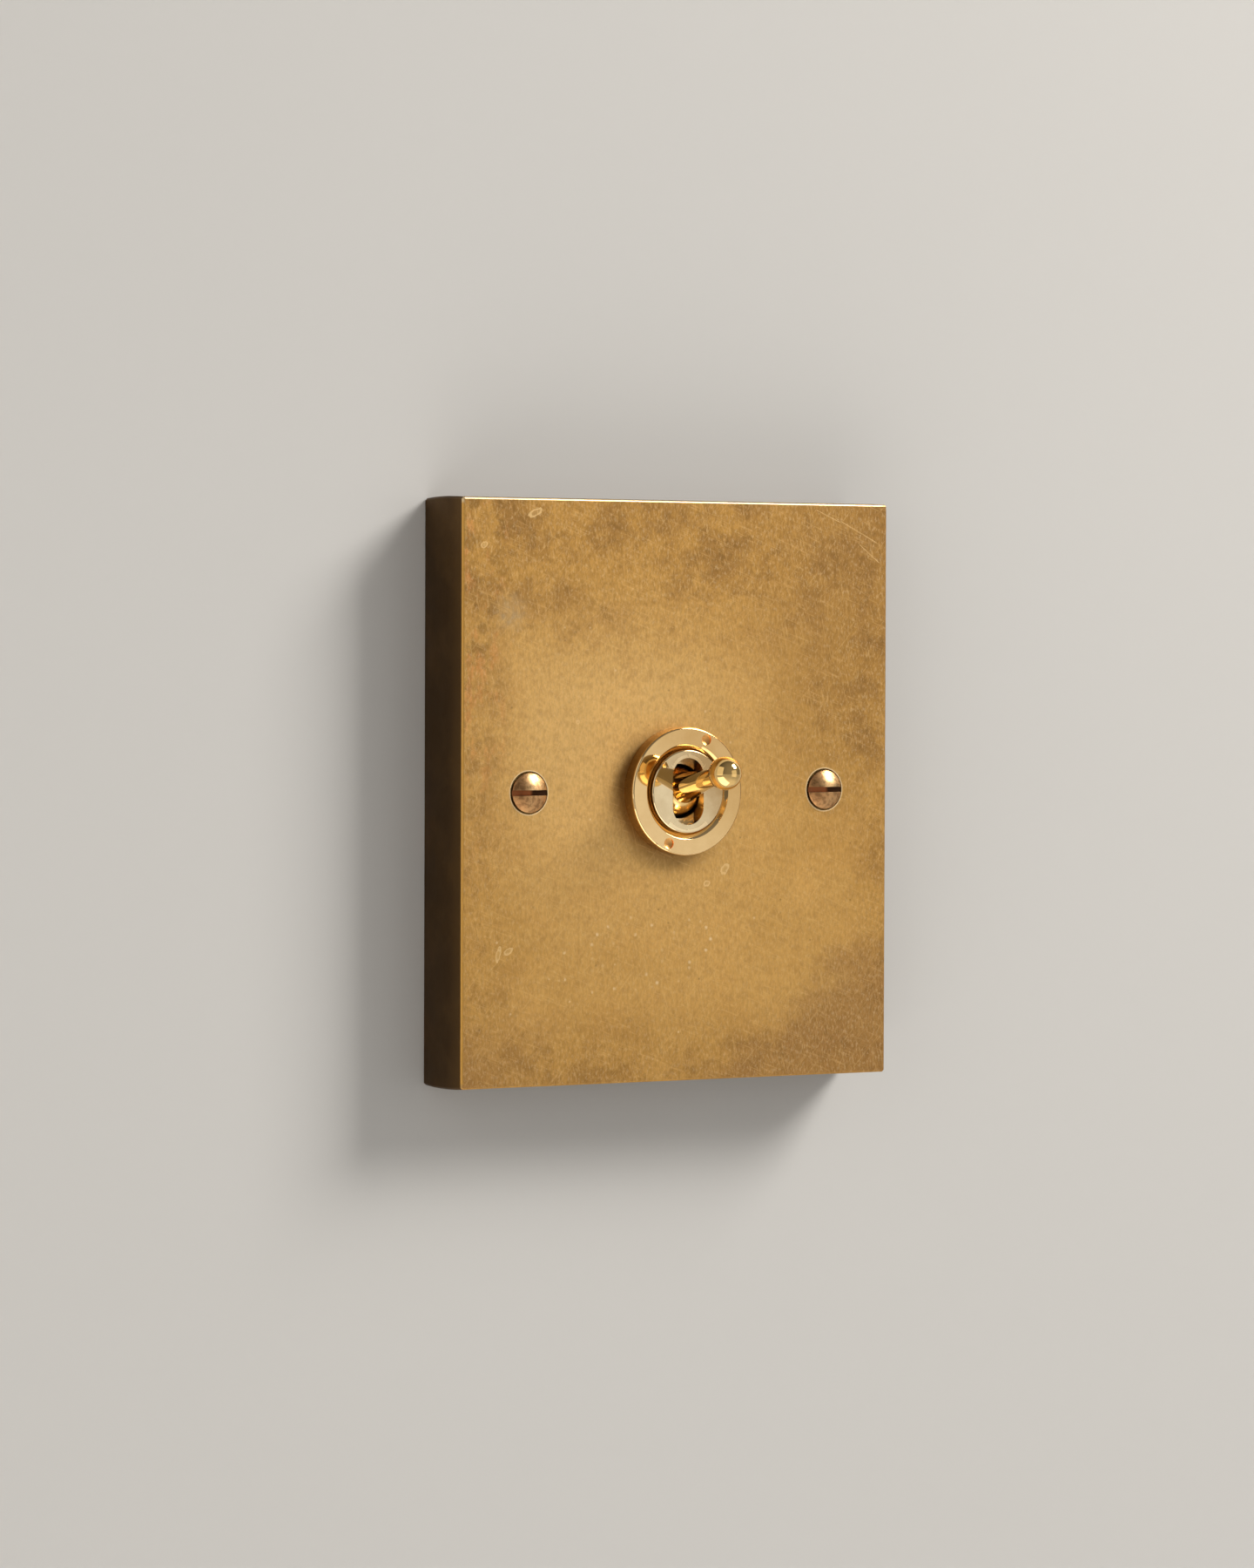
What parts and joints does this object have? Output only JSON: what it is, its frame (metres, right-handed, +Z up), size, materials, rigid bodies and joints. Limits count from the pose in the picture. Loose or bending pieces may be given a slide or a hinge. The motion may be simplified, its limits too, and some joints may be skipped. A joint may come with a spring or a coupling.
{
  "type": "dolly light switch",
  "caption": "Deep hollow brass wall plate with a polished ring nut and a ball-ended dolly lever that rocks up and down to work a toggle mechanism behind the plate.",
  "frame": {"origin": "centre of the plate's back rim, in the plane of the wall", "axes": "+X to the right of someone facing the switch, +Y into the wall, +Z up"},
  "size_m": [0.087, 0.0508, 0.101],
  "materials": {
    "aged_brass": "aged satin, mottled patina",
    "screw_brass": "aged, worn bright on the dome",
    "polished_brass": "mirror polish",
    "turned_brass": "as turned",
    "plated_steel": "zinc plated",
    "spring_steel": "drawn wire",
    "nylon": "natural, satin",
    "moulding": "satin moulded",
    "copper": "rolled",
    "contact_silver": "satin"
  },
  "bodies": {
    "plate": {"face_plate": "aged_brass", "plate_screws": "screw_brass", "ring_nut": "polished_brass", "bush": "polished_brass", "locating_washer": "plated_steel", "back_nut": "turned_brass", "pivot_pin": "plated_steel", "mounting_frame": "plated_steel", "switch_housing": "moulding", "terminal_base": "moulding", "housing_rivets": "turned_brass", "terminal_common": "turned_brass", "terminal_upper": "turned_brass", "terminal_lower": "turned_brass", "fixed_contacts": "contact_silver", "terminal_screws": "turned_brass", "earth_screw": "turned_brass", "earth_washer": "plated_steel"},
    "dolly": {"dolly": "polished_brass", "plunger_spring": "spring_steel"},
    "plunger": {"plunger": "nylon"},
    "rocker": {"rocker": "copper", "rocker_contacts": "contact_silver"}
  },
  "joints": [
    {"name": "dolly_rock", "type": "hinge", "parent": "plate", "child": "dolly", "pos_m": [0, -0.0112, 0], "axis": [1, 0, 0], "range_deg": [0, 22.8]},
    {"name": "rocker_tilt", "type": "hinge", "parent": "plate", "child": "rocker", "pos_m": [0, 0.0052, 0], "axis": [1, 0, 0], "range_deg": [-20, 0]},
    {"name": "plunger_slide", "type": "slide", "parent": "dolly", "child": "plunger", "axis": [0, 0.9803, -0.1977], "range_m": [0, 0.0007], "stiffness_N_per_m": 2, "springref_m": 0.002, "deforming": ["plunger_spring"]}
  ],
  "couplings": [
    {"joint": "rocker_tilt", "follows": "dolly_rock", "ratio": -0.87719}
  ]
}
